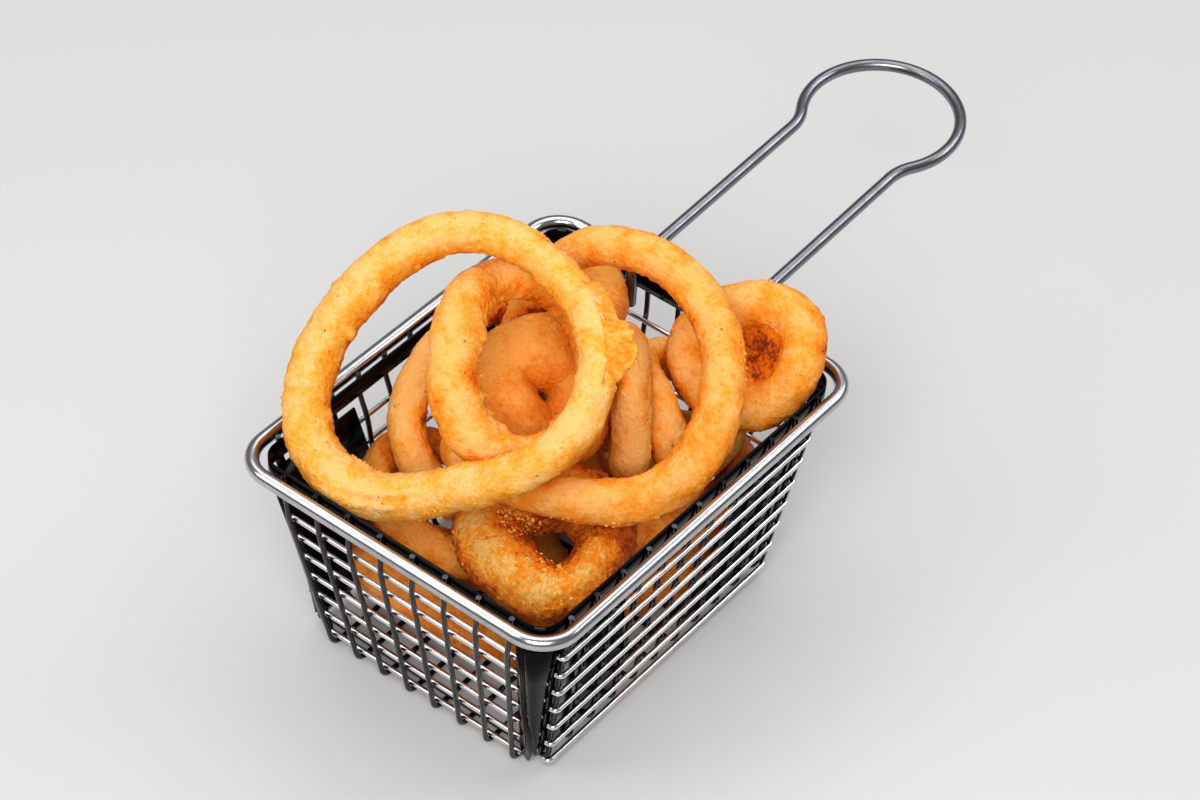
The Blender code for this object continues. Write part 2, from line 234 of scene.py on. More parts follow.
def chrome(name, bright, smear):
    """A chrome of that colour. Its roughness lies between the two values given."""
    made, nodes, links, shader = new_material(name)
    smears = noise_node(nodes, links, 160, 4)
    tint = ramp_node(nodes, links, smears, [(0.35, tuple(c * SMEARED for c in bright)), (0.62, bright)])
    links.new(tint, shader.inputs["Base Color"])
    shader.inputs["Metallic"].default_value = 1.0
    links.new(range_node(nodes, links, smears, 0.3, 0.7, smear[1], smear[0]), shader.inputs["Roughness"])
    waves = noise_node(nodes, links, 420, 2)
    links.new(bump_node(nodes, links, waves, 0.12, WAVE_HEIGHT), shader.inputs["Normal"])
    return made


# Painted light: the rim has chrome's own brightness, the level wires are painted brighter, and the handle,
# the uprights and the sheet are painted darker.
RIM_CHROME = chrome("chromed rim wire", (0.54, 0.54, 0.57), (0.14, 0.26))
SHADED_HANDLE_CHROME = chrome("chromed handle wire painted dark", (0.24, 0.24, 0.27), (0.20, 0.32))
LIT_LEVEL_CHROME = chrome("chromed level wire painted bright", (0.85, 0.85, 0.87), (0.14, 0.26))
SHADED_UPRIGHT_CHROME = chrome("chromed upright wire painted dark", (0.065, 0.065, 0.072), (0.10, 0.20))
SHADED_SHEET_CHROME = chrome("chromed sheet painted dark", (0.010, 0.010, 0.012), (0.08, 0.18))
print("chrome finishes ready")

# %% [markdown]
# ## Round wires
#
# Every wire is a curve with a round bevel, the natural tool for it: the path stays a handful of corner
# points and the thickness is one number. Real wire is bent over a mandrel, so a corner is never sharp. The
# helper below swaps each corner for a short smooth bend.

# %% Helpers for wire
BEND_STEPS = 6
LONGEST_BEND = 0.45  # the most of a straight stretch that a bend at one end of it may use


def bend_corners(corners, reach):
    """The path through the corners, with each inner corner swapped for a bend that starts `reach` away."""
    path = [Vector(corners[0])]
    for before, corner, after in zip(corners, corners[1:], corners[2:]):
        before, corner, after = Vector(before), Vector(corner), Vector(after)
        back, ahead = before - corner, after - corner
        entry = corner + back.normalized() * min(reach, back.length * LONGEST_BEND)
        leave = corner + ahead.normalized() * min(reach, ahead.length * LONGEST_BEND)
        for step in range(BEND_STEPS + 1):
            part = step / BEND_STEPS
            path.append(entry.lerp(corner, part).lerp(corner.lerp(leave, part), part))
    path.append(Vector(corners[-1]))
    return path


def wire_piece(name, paths, diameter, replaced, closed, finish, sides=6):
    """One piece of round wire, or several alike, standing for the CAD nodes named."""
    curve = bpy.data.curves.new(name, "CURVE")
    curve.dimensions = "3D"
    curve.bevel_depth = diameter / 2
    curve.bevel_resolution = sides
    curve.use_fill_caps = True
    for path in paths:
        spline = curve.splines.new("POLY")
        spline.points.add(len(path) - 1)
        spline.use_cyclic_u = closed
        for point, position in zip(spline.points, path):
            point.co = (*position, 1.0)
    curve.materials.append(finish)
    piece = add_object(name, curve)
    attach(piece, "root")
    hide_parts(*replaced)
    return piece


print("a bend is drawn in", BEND_STEPS, "steps")

# %% [markdown]
# ## Rim
#
# The rim is one thick wire, bent into a rounded rectangle and butt-welded. It carries everything else.

# %% Bend the rim
def rounded_rectangle(inset, height, steps=12):
    """A closed path round the basket, moved in from the rim's centre line, at a height above it."""
    radius = RIM_CORNER - inset
    path = []
    for side_x, side_y, start in ((1, 1, 0), (-1, 1, 90), (-1, -1, 180), (1, -1, 270)):
        middle = Vector((side_x * (HALF_WIDTH - RIM_CORNER), side_y * (HALF_LENGTH - RIM_CORNER), height))
        for step in range(steps + 1):
            angle = math.radians(start + 90 * step / steps)
            path.append(RIM_MIDDLE + middle + radius * Vector((math.cos(angle), math.sin(angle), 0)))
    return path


rim = wire_piece("rim_wire", [rounded_rectangle(0, 0)], RIM_WIRE, ["rim"], True, RIM_CHROME, 10)
print("rim:", len(rim.data.splines[0].points), "points")

# %% [markdown]
# ## Handle
#
# One more wire makes the whole handle: it starts inside the far wall, crosses over the rim, runs out as two
# straight legs and closes in a round loop, with a small reverse bend where each leg opens into it. The
# handle's box gives the loop's size, its place across the basket and how far it reaches.

# %% Bend the handle
HANDLE_WIRE = 3.5 * MM
LEG_HALF = 16.9 * MM  # half the distance between the legs
NECK_RADIUS = 14.0 * MM  # of the bend where a leg opens into the loop
LEG_INSET = 6.7 * MM  # from the rim's centre line to a leg's inner end
LEG_BEND = 3.0 * MM
LEG_DROP = 13.8 * MM  # how far a leg turns down inside the basket
HANDLE_LIFT = 4.05 * MM  # how far the legs are above the rim's centre line
HANDLE_SLOPE = math.radians(3)

handle_low, handle_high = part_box("handle")
handle_x = (handle_low.x + handle_high.x) / 2
loop_radius = (handle_high.x - handle_low.x - HANDLE_WIRE) / 2


def arc(middle, radius, start, stop, steps):
    """Points of an arc in plan, from one angle in degrees to another."""
    angles = [math.radians(start + (stop - start) * step / steps) for step in range(steps + 1)]
    return [Vector((middle[0] + radius * math.cos(a), middle[1] + radius * math.sin(a), 0)) for a in angles]


def handle_path():
    """One half of the handle from its inner end to the loop's far point, then the same mirrored."""
    reach = (handle_high.y - HANDLE_WIRE / 2 - RIM_MIDDLE.y - HALF_LENGTH) / math.cos(HANDLE_SLOPE)
    loop_y = reach - loop_radius
    apart = loop_radius + NECK_RADIUS
    opening = math.degrees(math.acos((LEG_HALF + NECK_RADIUS) / apart))
    neck_y = loop_y - apart * math.sin(math.radians(opening))
    inner = math.tan(HANDLE_SLOPE) * (LEG_DROP - LEG_BEND)
    leg = [Vector((LEG_HALF, -LEG_INSET - inner, -LEG_DROP))]
    for turned in arc((-LEG_INSET + LEG_BEND, -LEG_BEND), LEG_BEND, 180, 90, 8):
        leg.append(Vector((LEG_HALF, turned.x, turned.y)))
    neck = arc((LEG_HALF + NECK_RADIUS, neck_y), NECK_RADIUS, 180, 180 - opening, 8)
    loop = arc((0, loop_y), loop_radius, -opening, 90, 24)
    half = leg + neck + loop[1:]
    other = [Vector((-point.x, point.y, point.z)) for point in reversed(half[:-1])]
    lean = Matrix.Rotation(HANDLE_SLOPE, 3, "X")
    foot = Vector((handle_x, RIM_MIDDLE.y + HALF_LENGTH, RIM_MIDDLE.z + HANDLE_LIFT))
    return [foot + lean @ point for point in half + other]


wire_piece("handle_wire", [handle_path()], HANDLE_WIRE, ["handle"], False, SHADED_HANDLE_CHROME, 8)
print("handle reaches", round((handle_high.y - rim_high.y) * 1000), "mm past the rim")

# %% [markdown]
# ## The wire mesh
#
# The mesh has two layers. On the short walls the upright wires are outside, on the long walls inside, and
# each of them runs down one wall, along the floor and up the other in a single bent piece. The level wires
# lie across them. Uprights fan out slightly, because the basket is wider at its mouth than at its foot.

# %% Sizes of the mesh
MESH_WIRE = 1.5 * MM
WALL_INSET = 2.2 * MM  # from the rim's centre line to the wall, at the rim's height
LAYER = 1.7 * MM  # from one layer of wires to the next
FIRST_ROW = 14.83 * MM  # from the rim's centre line down to the first level wire
ROW_PITCH = 8.09 * MM
ROWS = 7
ROW_END = 1.8 * MM  # how far a level wire runs on past the last upright
TIP_INSET = 3.0 * MM  # where an upright ends, inside the rim's centre line
TIP_RISE = 1.2 * MM  # and above it
KNEE = 5.6 * MM  # how far down an upright stays straight before it bends out to the wall
HEIGHT = RIM_MIDDLE.z
# gap: from the basket's middle to the rim. lean: how far the wall leans in from rim to floor. half: half the
# width of its grid, at the rim and at the floor. flange: from the grid's edge to both edges of its strip.
SHORT_WALL = {
    "gap": HALF_LENGTH, "lean": 14.1 * MM,
    "half": (37.6 * MM, 31.0 * MM), "flange": (1.0 * MM, 3.4 * MM),
}
LONG_WALL = {
    "gap": HALF_WIDTH, "lean": 9.3 * MM,
    "half": (52.2 * MM, 44.9 * MM), "flange": (1.0 * MM, 2.3 * MM),
}


def share(depth):
    """0 at the rim, 1 at the floor."""
    return depth / HEIGHT


def reach_of(wall, depth):
    """Half the width of a wall's grid at that depth below the rim."""
    return wall["half"][0] + (wall["half"][1] - wall["half"][0]) * share(depth)


def wall_line(wall, depth, layer):
    """Distance of a wall's wires from the middle of the basket, at that depth."""
    return wall["gap"] - WALL_INSET - wall["lean"] * share(depth) - layer


print("each wall has", ROWS, "level wires,", round(ROW_PITCH * 1000, 2), "mm apart")

# %% [markdown]
# ### Bent wires
#
# A bent wire is given by four corners on one side, from its tip down to the floor, and the same four on the
# other. The tips stand a little above the band and are left as cut.

# %% Bend the wires of the mesh
MESH_BEND = 3.4 * MM
LOWER_FLOOR, UPPER_FLOOR = 0.75 * MM, 2.35 * MM  # how high the two layers' wires run along the floor


def bent_wire(wall, spread, layer, floor, lengthwise):
    """The path of one wire. Its spread is its place across the wall, from -1 to 1."""
    bottom = HEIGHT - floor
    side = [
        (wall["gap"] - TIP_INSET, -TIP_RISE),
        (wall["gap"] - TIP_INSET, KNEE),
        (wall_line(wall, FIRST_ROW - MESH_WIRE, layer), FIRST_ROW - MESH_WIRE),
        (wall_line(wall, bottom, layer), bottom),
    ]
    corners = []
    for sign, half in ((-1, side), (1, side[::-1])):
        for along, depth in half:
            across = spread * reach_of(wall, max(depth, 0))
            x, y = (across, sign * along) if lengthwise else (sign * along, across)
            corners.append(RIM_MIDDLE + Vector((x, y, -depth)))
    return bend_corners(corners, MESH_BEND)


def nodes_of(name):
    """The model's nodes of that name, in the order of their numbers."""
    found = [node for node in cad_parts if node.startswith(name + "_")]
    return sorted(found, key=lambda node: int(node.split("_")[1]))


def bent_layer(name, wall, layer, floor, lengthwise):
    """All the bent wires that run one way, spread evenly, one piece for each node."""
    nodes = nodes_of(name)
    for number in range(len(nodes)):
        spread = 2 * number / (len(nodes) - 1) - 1
        path = bent_wire(wall, spread, layer, floor, lengthwise)
        piece_name = f"{name}_wire_{number + 1}"
        wire_piece(piece_name, [path], MESH_WIRE, [nodes[number]], False, SHADED_UPRIGHT_CHROME)
    print(name, "wires:", len(nodes))


bent_layer("lengthwise", SHORT_WALL, -LAYER, LOWER_FLOOR, True)
bent_layer("crosswise", LONG_WALL, LAYER, UPPER_FLOOR, False)

# %% [markdown]
# ### Level wires
#
# The level wires of a wall are parallel, so one curve object with seven splines holds them. They stop just
# past the last upright, and their ends are what glints beside the dark corners. Their chrome is painted
# brighter than the rim's, a painted highlight, and the corner plates are painted almost black.

# %% Lay the level wires
WALLS = (
    ("front", SHORT_WALL, 0), ("right", LONG_WALL, 90),
    ("back", SHORT_WALL, 180), ("left", LONG_WALL, 270),
)
HOOK, HOOK_SPREAD, HOOK_BEND = 1.7 * MM, 0.2 * MM, 1.2 * MM  # how a long wall's wires turn in at the ends


def level_paths(wall, heading, hooked):
    """The level wires of one wall, drawn facing -Y and then turned to the wall's heading."""
    turned = Matrix.Rotation(math.radians(heading), 3, "Z")
    paths = []
    for row in range(ROWS):
        depth = FIRST_ROW + row * ROW_PITCH
        half = reach_of(wall, depth) + ROW_END
        out = -wall_line(wall, depth, 0)
        ends = [Vector((-half, out, -depth)), Vector((0, out, -depth)), Vector((half, out, -depth))]
        if hooked:
            ends.insert(0, Vector((-half - HOOK_SPREAD, out + HOOK, -depth)))
            ends.append(Vector((half + HOOK_SPREAD, out + HOOK, -depth)))
        paths.append([RIM_MIDDLE + turned @ end for end in bend_corners(ends, HOOK_BEND)])
    return paths


for side_name, wall, heading in WALLS:
    rows = level_paths(wall, heading, wall is LONG_WALL)
    wire_piece("level_wires_" + side_name, rows, MESH_WIRE, ["grid_" + side_name], False, LIT_LEVEL_CHROME)
print("level wires:", ROWS * len(WALLS))

# %% [markdown]
# ## Sheet metal
#
# A narrow band runs round inside the rim and hides the weld line, a strip of sheet backs the ends of the
# level wires, and a bent plate with a rounded tongue closes each corner. All of them are thin sheet, so each
# is drawn as a bare surface and Solidify gives it thickness.

# %% Helper for sheet
def sheet_piece(name, rows, thickness, replaced=(), closed=False):
    """A surface through rows of points, thickened evenly to both sides."""
    shape = bmesh.new()
    grid = [[shape.verts.new(point) for point in row] for row in rows]
    for upper, lower in zip(grid, grid[1:]):
        for number in range(len(upper) - (0 if closed else 1)):
            after = (number + 1) % len(upper)
            shape.faces.new((upper[number], upper[after], lower[after], lower[number]))
    bmesh.ops.recalc_face_normals(shape, faces=shape.faces)
    for face in shape.faces:
        face.smooth = True
    mesh = bpy.data.meshes.new(name)
    shape.to_mesh(mesh)
    shape.free()
    # Every sheet piece gets the chrome painted almost black, a painted dark reflection.
    mesh.materials.append(SHADED_SHEET_CHROME)
    piece = add_object(name, mesh)
    shell = piece.modifiers.new("sheet", "SOLIDIFY")
    shell.thickness = thickness
    shell.offset = 0
    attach(piece, "root")
    if replaced:
        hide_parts(*replaced)


print("sheet pieces are bare surfaces, thickened evenly")

# %% The band inside the rim
BAND_INSET = 4.25 * MM
BAND_DEPTH = 5.0 * MM
BAND_SHEET = 0.5 * MM
band_rows = [rounded_rectangle(BAND_INSET, height) for height in (TIP_RISE, -BAND_DEPTH / 2, -BAND_DEPTH)]
sheet_piece("rim_band", band_rows, BAND_SHEET, ["band"], closed=True)
print("band:", round((TIP_RISE + BAND_DEPTH) * 1000, 1), "mm high")

# %% [markdown]
# ### Edge strips and corner plates
#
# A corner plate is welded inside the mesh. It starts beside a short wall's strip, turns the corner and runs
# far along the long wall behind the uprights, where it shows as a dark sheet, its chrome painted almost black
# as a painted dark reflection. It is a surface between unlike sections: a broad rounded corner at the top, a
# narrow one at the foot. Its last rows are cut back more and more, which rounds off its lower corners.

# %% Strips behind the ends of the level wires
SHEET = 0.6 * MM
STRIP_LAYER = 0.8 * MM
UPPER_DEPTH = 25 * MM  # where the sheet takes an extra row, so that it follows the wall's taper
LEAF_TOP, LEAF_FOOT, LEAF_END = 44 * MM, 66.6 * MM, 67.2 * MM
LEAF = 2.1 * MM
LONG_FOOT = 64.4 * MM
TUCK_TOP, TUCK_DEPTH, TUCK = 60 * MM, 7 * MM, 2.3 * MM  # the inner edge of the leaf curves outward here
STRIP_STEPS = 14


def leaf_width(wall, depth):
    """How much wider a short wall's strip is near its foot, where it ends in a rounded leaf."""
    into = (depth - LEAF_TOP) / (LEAF_END - LEAF_TOP)
    if wall is LONG_WALL or into <= 0:
        return 0.0
    return LEAF * math.sin(math.pi * min(into, 1)) ** 0.8


def strip_edges(wall, depth):
    """Distance of a strip's two edges from the middle of its wall."""
    inner, outer = wall["flange"]
    if wall is SHORT_WALL:
        inner += TUCK * max(0.0, (depth - TUCK_TOP) / TUCK_DEPTH) ** 2
    return reach_of(wall, depth) + inner, reach_of(wall, depth) + outer + leaf_width(wall, depth)


for side_name, wall, heading in WALLS:
    turned = Matrix.Rotation(math.radians(heading), 3, "Z")
    drop = (LEAF_FOOT if wall is SHORT_WALL else LONG_FOOT) - LEAF_TOP
    depths = [KNEE, UPPER_DEPTH] + [LEAF_TOP + drop * step / STRIP_STEPS for step in range(STRIP_STEPS + 1)]
    for hand in (-1, 1):
        rows = []
        for depth in depths:
            out = -wall_line(wall, depth, STRIP_LAYER)
            edges = [hand * edge for edge in strip_edges(wall, depth)]
            rows.append([RIM_MIDDLE + turned @ Vector((edge, out, -depth)) for edge in edges])
        sheet_piece(f"edge_strip_{side_name}_{'left' if hand < 0 else 'right'}", rows, SHEET)
print("edge strips:", 2 * len(WALLS))

# %% Corner plates
SEAM = 0.35 * MM
WING_LAYER = 3.0 * MM
WING_EDGE = (27.1 * MM, 12.9 * MM)  # from the middle of a long wall, at the rim and at the floor
CORNER_BEND = 6.0 * MM
BEND_SHARE = 0.8  # how much of the plate's short side the bend takes up
LEAST_SIDE = 0.8 * MM
LOWER_DEPTH = 45 * MM
PLATE_BOTTOM = 62.0 * MM
TONGUE = 7.0 * MM
TONGUE_TRIM = 1.6 * MM
CORNER_STEPS, TONGUE_STEPS = 8, 6


def corner_section(depth, trim):
    """A corner plate in plan at +X +Y, from a short wall's strip to far along a long wall."""
    outer_x = wall_line(LONG_WALL, depth, WING_LAYER)
    outer_y = wall_line(SHORT_WALL, depth, STRIP_LAYER)
    start_x = min(strip_edges(SHORT_WALL, depth)[1] + SEAM + trim, outer_x - LEAST_SIDE)
    bend_x = (outer_x - start_x) * BEND_SHARE
    section = [Vector((start_x, outer_y, -depth))]
    for step in range(CORNER_STEPS + 1):
        angle = math.radians(90 - 90 * step / CORNER_STEPS)
        x = outer_x - bend_x + bend_x * math.cos(angle)
        y = outer_y - CORNER_BEND + CORNER_BEND * math.sin(angle)
        section.append(Vector((x, y, -depth)))
    wing = WING_EDGE[0] + (WING_EDGE[1] - WING_EDGE[0]) * share(depth) + trim
    section.append(Vector((outer_x, wing, -depth)))
    return section


def corner_plate(end, side_y, hand, side_x):
    """One corner's plate, mirrored into place by the signs of its two sides."""
    depths = [KNEE, UPPER_DEPTH, LOWER_DEPTH]
    depths += [PLATE_BOTTOM - TONGUE * (1 - step / TONGUE_STEPS) for step in range(TONGUE_STEPS + 1)]
    rows = []
    for depth in depths:
        into = max(0.0, 1 - (PLATE_BOTTOM - depth) / TONGUE)
        trim = TONGUE_TRIM * (1 - math.sqrt(1 - into * into))
        section = corner_section(depth, trim)
        rows.append([RIM_MIDDLE + Vector((side_x * p.x, side_y * p.y, p.z)) for p in section])
    sheet_piece(f"corner_plate_{end}_{hand}", rows, SHEET, [f"corner_{end}_{hand}"])


for end, side_y in (("front", -1), ("back", 1)):
    for hand, side_x in (("left", -1), ("right", 1)):
        corner_plate(end, side_y, hand, side_x)
print("corner plates: 4")

# %% [markdown]
# ## Where each ring runs
#
# The solids of the rings are plain tubes. Their centre lines are what the batter needs, so each solid is cut
# by half planes through its own axis, like a cake: the middle of each cut is a point of the centre line, and
# the cut's area gives the tube's thickness there.

# %% Cut a ring's solid
CUTS = 96
CUT_SHIFT = 0.37  # the cuts start this share of a step past the ring's side, so that none meets an edge
SOLID_SIDES_AREA = 2 * math.sqrt(2)  # area of an eight-sided section over its radius squared


def ring_axes(points):
    """(middle, side, other side, axis) of a ring, with the first side as near to +X as the ring allows."""
    middle = points.mean(0)
    _, directions = np.linalg.eigh(np.cov((points - middle).T))
    axis = directions[:, 0] * (1 if directions[2, 0] >= 0 else -1)
    side = np.array((1.0, 0, 0)) - axis * axis[0]
    side /= np.linalg.norm(side)
    return middle, side, np.cross(axis, side), axis


def cut_of(points, edges, middle, outward, along, axis):
    """(middle of the cut, its area) of the solid on one half plane."""
    heights = (points - middle) @ along
    first, second = heights[edges[:, 0]], heights[edges[:, 1]]
    crossing = edges[(first * second) < 0]
    share_along = heights[crossing[:, 0]] / (heights[crossing[:, 0]] - heights[crossing[:, 1]])
    found = points[crossing[:, 0]] + share_along[:, None] * (points[crossing[:, 1]] - points[crossing[:, 0]])
    flat = np.stack([(found - middle) @ outward, (found - middle) @ axis], 1)
    flat = flat[flat[:, 0] > 0]
    inner = flat - flat.mean(0)
    flat = flat[np.argsort(np.arctan2(inner[:, 1], inner[:, 0]))]
    after = np.roll(flat, -1, 0)
    pieces = flat[:, 0] * after[:, 1] - after[:, 0] * flat[:, 1]
    area = pieces.sum() / 2
    centre = ((flat + after) * pieces[:, None]).sum(0) / (6 * area)
    return middle + outward * centre[0] + axis * centre[1], area


print("each ring is cut", CUTS, "times")

# %% Read the path of every ring
def smooth_round(values, width=2):
    """A running mean round a closed row of values."""
    return sum(np.roll(values, shift, 0) for shift in range(-width, width + 1)) / (2 * width + 1)


def ring_path(node):
    """Centre line, thickness and axis of a ring's solid."""
    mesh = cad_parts[node].data
    points = np.array([vertex.co for vertex in mesh.vertices])
    edges = np.array([edge.vertices for edge in mesh.edges])
    middle, side, other, axis = ring_axes(points)
    centres, areas, normals = [], [], []
    for cut in range(CUTS):
        angle = 2 * math.pi * (cut + CUT_SHIFT) / CUTS
        outward = side * math.cos(angle) + other * math.sin(angle)
        along = other * math.cos(angle) - side * math.sin(angle)
        centre, area = cut_of(points, edges, middle, outward, along, axis)
        centres.append(centre)
        areas.append(area)
        normals.append(along)
    centres = smooth_round(np.array(centres))
    tangents = np.roll(centres, -1, 0) - np.roll(centres, 1, 0)
    tangents /= np.linalg.norm(tangents, axis=1)[:, None]
    square = np.array(areas) * np.abs((tangents * np.array(normals)).sum(1)) / SOLID_SIDES_AREA
    return {"centres": centres, "radii": smooth_round(np.sqrt(square), 3), "middle": middle, "axis": axis}


paths = {node: ring_path(node) for node in rings}
for node, path in paths.items():
    print(f"{node}: tube {2000 * path['radii'].min():.1f} to {2000 * path['radii'].max():.1f} mm thick")

# %% [markdown]
# ## The batter's shape
#
# Batter sets while it runs, so a fried ring is lumpy at three scales: slow swells where it gathered, creases
# that run across the tube where it was stretched, and a fine crust. Each is a layer of noise that moves the
# skin in or out. The noise is read in the ring's own space, so neighbours never match. The inner side of the
# tube is rougher, where the batter dripped together and tore. A few named places carry a nub or a furrow, and
# in three rings a web of batter narrows the hole.

# %% Nubs, furrows and webs
# Each is (place round the ring in degrees, place round the tube in degrees, half its length, width in
# degrees, height), with lengths in millimetres. Round the tube, 0 points away from the ring's middle and 90
# along its axis. One of at least WEB long is a web that runs all the way round and narrows the ring's hole.
WEB = 60
FEATURES = {
    "ring_top": [
        (176, 8, 1.9, 15, 1.1), (217, 0, 2.6, 14, 0.6), (188, 172, 1.8, 17, 1.2), (226, 178, 2.6, 17, 0.8),
        (145, 178, 1.7, 15, 0.8), (163, 2, 1.4, 12, 0.5), (203, 4, 1.4, 12, 0.5), (255, 176, 6.0, 17, 1.2),
        (266, 58, 12.0, 8, 0.75), (272, 76, 12.0, 5, -0.7), (278, 92, 13.0, 8, 0.6), (290, 106, 9.0, 5, -0.5),
    ],
    "ring_inner": [
        (203, 142, 10.0, 15, 1.6), (230, 140, 8.0, 14, 1.3), (258, 146, 7.0, 14, 1.1),
        (286, 150, 9.0, 16, 1.2),
    ],
    "ring_leaning": [(215, 170, 7.0, 18, 0.9), (330, 0, 4.0, 14, 0.5), (62, 0, 3.0, 14, 0.5)],
    "ring_thick": [(90, 228, 60.0, 34, 2.2)],
    "ring_far_corner": [(90, 203, 110.0, 17, 9.9)],
    "ring_near_corner": [(90, 236, 70.0, 36, 2.4), (205, 158, 8.0, 26, 1.8), (240, 156, 8.0, 22, 1.6)],
}
print("rings with features of their own:", len(FEATURES))

# %% Crust, tone and painted light of each ring
# How rough a crust is, how torn its inner side is, and how patchy its colour is, beside a plain ring's.
ROUGHNESS = {"ring_near_corner": 2.3, "ring_leaning": 0.9, "ring_thick": 0.8, "ring_slice_a": 1.2}
RAGGED = {
    "ring_near_corner": 0.9, "ring_top": 0.6, "ring_inner": 1.4, "ring_thick": 0.3, "ring_far_corner": 0.6,
}
VARIED = {"ring_near_corner": 0.9, "ring_thick": 0.7}
PLAIN_RAGGED = 0.8
# Painted light: the side turned to the lights where a ring is painted palest, how much paler it is painted
# there than beside it, and a painted lift or darkening added all over.
UPPER_LIT_SIDE = Vector((0.08, -0.46, 0.88)).normalized()
FRONT_LIT_SIDE = Vector((0.14, -0.60, 0.78)).normalized()
MIDDLE_TONE, DEEPEST_TONE = 0.48, 0.08
PLAIN_CONTRAST = 0.38
PLAIN_LIGHT_TONE = (UPPER_LIT_SIDE, PLAIN_CONTRAST, 0.0)
LIGHT_TONES = {
    "ring_near_corner": (FRONT_LIT_SIDE, 1.5, -1.10),
    "ring_far_corner": (UPPER_LIT_SIDE, PLAIN_CONTRAST, -0.06),
    "ring_slice_a": (UPPER_LIT_SIDE, PLAIN_CONTRAST, 0.16),
    "ring_slice_b": (UPPER_LIT_SIDE, PLAIN_CONTRAST, 0.12),
    "ring_edge": (UPPER_LIT_SIDE, PLAIN_CONTRAST, 0.12),
}
# How much a nub, in millimetres, and the grain add to the tone, a painted highlight on raised batter, and
# what a web, a crease and a crevice take, a painted shade.
NUB_LIGHT_ADDS, GRAIN_LIGHT_ADDS = 0.4, 0.22
WEB_SHADE_TAKES, CREASE_SHADE_TAKES, CREVICE_SHADE_TAKES = 0.12, 0.18, 0.75
print("rings with a tone of their own:", len(LIGHT_TONES))

# %% Layers of batter
def feature_height(features, turn_place, tube_place, arc_length, point):
    """How far the features stand out of the skin at one place, in metres."""
    height = 0.0
    for ring_angle, tube_angle, length, width, rise in features:
        along = math.remainder(turn_place - math.radians(ring_angle), math.tau) / math.tau * arc_length
        around = math.degrees(math.remainder(tube_place - math.radians(tube_angle), math.tau))
        if abs(along) < length * MM and abs(around) < 2.5 * width:
            ragged = 1.0
            if length < WEB:
                ragged = 0.75 + 0.8 * noise.noise(point * 620) + 0.5 * noise.noise(point * 260)
            profile = max(0.0, 1 - (along / (length * MM)) ** 2) ** 0.7
            height += rise * MM * profile * max(0.0, ragged) * math.exp(-((around / width) ** 2))
    return height


def lumps(point, size, shift=(0, 0, 0)):
    """Noise from about -1 to 1, with lumps of that size in millimetres."""
    return noise.noise(point / (size * MM) + Vector(shift))


def inner_share(tube_place):
    """0 on the outer side of the tube, 1 on the side of the hole."""
    return 0.5 - 0.5 * math.cos(tube_place)


def batter_height(point, tube_place, rough, ragged):
    """How far the skin stands out, in metres, with the crease depth and the crust's grain, about 0 to 1."""
    slow = 0.50 * lumps(point, 9) + 0.30 * lumps(point, 4.4, (7, 3, 1))
    grain = 0.15 * lumps(point, 1.8) + 0.16 * lumps(point, 0.9, (3, 5, 8))
    pimple = max(0.0, lumps(point, 1.4, (5, 1, 6)) - 0.28)
    crease = max(0.0, 0.25 - abs(lumps(point, 5.5, (1, 8, 2)))) * 4
    crease *= max(0.0, lumps(point, 12, (4, 4, 9))) * 2
    torn = max(0.0, lumps(point, 1.6, (2, 9, 4))) + 0.3 * lumps(point, 3)
    torn *= min(1.3, max(0.15, 0.6 + 1.6 * lumps(point, 11, (6, 2, 3))))
    height = slow + rough * (grain + 0.6 * pimple - 0.20 * crease)
    height += ragged * 1.15 * torn * inner_share(tube_place) ** 4
    return height * MM, crease, 2.4 * grain + 1.6 * pimple


print("batter layers: swells, creases, crust, torn inner edge")

# %% [markdown]
# ## Skinning a ring
#
# The skin is a grid of quads, one row for each short step along the centre line and one column for each step
# round the tube. Besides its place, every point keeps a number for how pale it is painted, which holds the
# batter's own mottling and painted light and shade. Crowns turned to the lights and lumps are painted pale, a
# painted highlight. Creases, webs and places close to another ring are painted deep gold, a painted shade,
# and the inner side is deeper too.

# %% Helpers for a skin
# Painted shade: the batter is painted darker where another ring is nearer than this, in the crevice between
# them.
CREVICE_SHADE_REACH = 4.0 * MM  # batter is darker where another ring is nearer than this
NOISE_SHIFT = (0.31, 0.17, 0.23)  # from one ring's noise to the next one's, in metres


def resample(values, count):
    """Values round a closed row, read again at a new number of places."""
    old = np.arange(len(values) + 1) / len(values)
    new = np.arange(count) / count
    closed = np.concatenate([values, values[:1]])
    if closed.ndim == 1:
        return np.interp(new, old, closed)
    return np.stack([np.interp(new, old, closed[:, axis]) for axis in range(3)], 1)


def tube_directions(centre, tangent, path):
    """Two directions across the tube: away from the ring's middle, and along its axis."""
    outward = centre - Vector(path["middle"])
    outward = (outward - tangent * outward.dot(tangent)).normalized()
    upward = tangent.cross(outward)
    if upward.dot(Vector(path["axis"])) < 0:
        upward = -upward
    return outward, upward


def tree_of_others(node):
    """The solids of all the other rings as one search tree."""
    points, polygons = [], []
    for other in rings:
        if other != node:
            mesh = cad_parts[other].data
            first = len(points)
            points.extend(vertex.co for vertex in mesh.vertices)
            polygons.extend([first + number for number in face.vertices] for face in mesh.polygons)
    return BVHTree.FromPolygons(points, polygons)


def tone_with_painted_light(node, sample, direction, tube_place):
    """How pale the batter is, about 0 to 1, with painted light on the lit side, before lumps, creases and
    contacts count.
    """
    lit_side, contrast, lift = LIGHT_TONES.get(node, PLAIN_LIGHT_TONE)
    # Painted light: paler on the side turned to the lights, darker on the side away from them.
    tone = MIDDLE_TONE + lift + contrast * max(-0.3, direction.dot(lit_side))
    tone -= 0.16 * inner_share(tube_place) ** 2
    tone += VARIED.get(node, 1.0) * (0.34 * lumps(sample, 6) + 0.20 * lumps(sample, 2.8))
    return tone + 0.22 * lumps(sample, 16)


print("a crevice starts", round(CREVICE_SHADE_REACH * 1000, 1), "mm from the next ring")

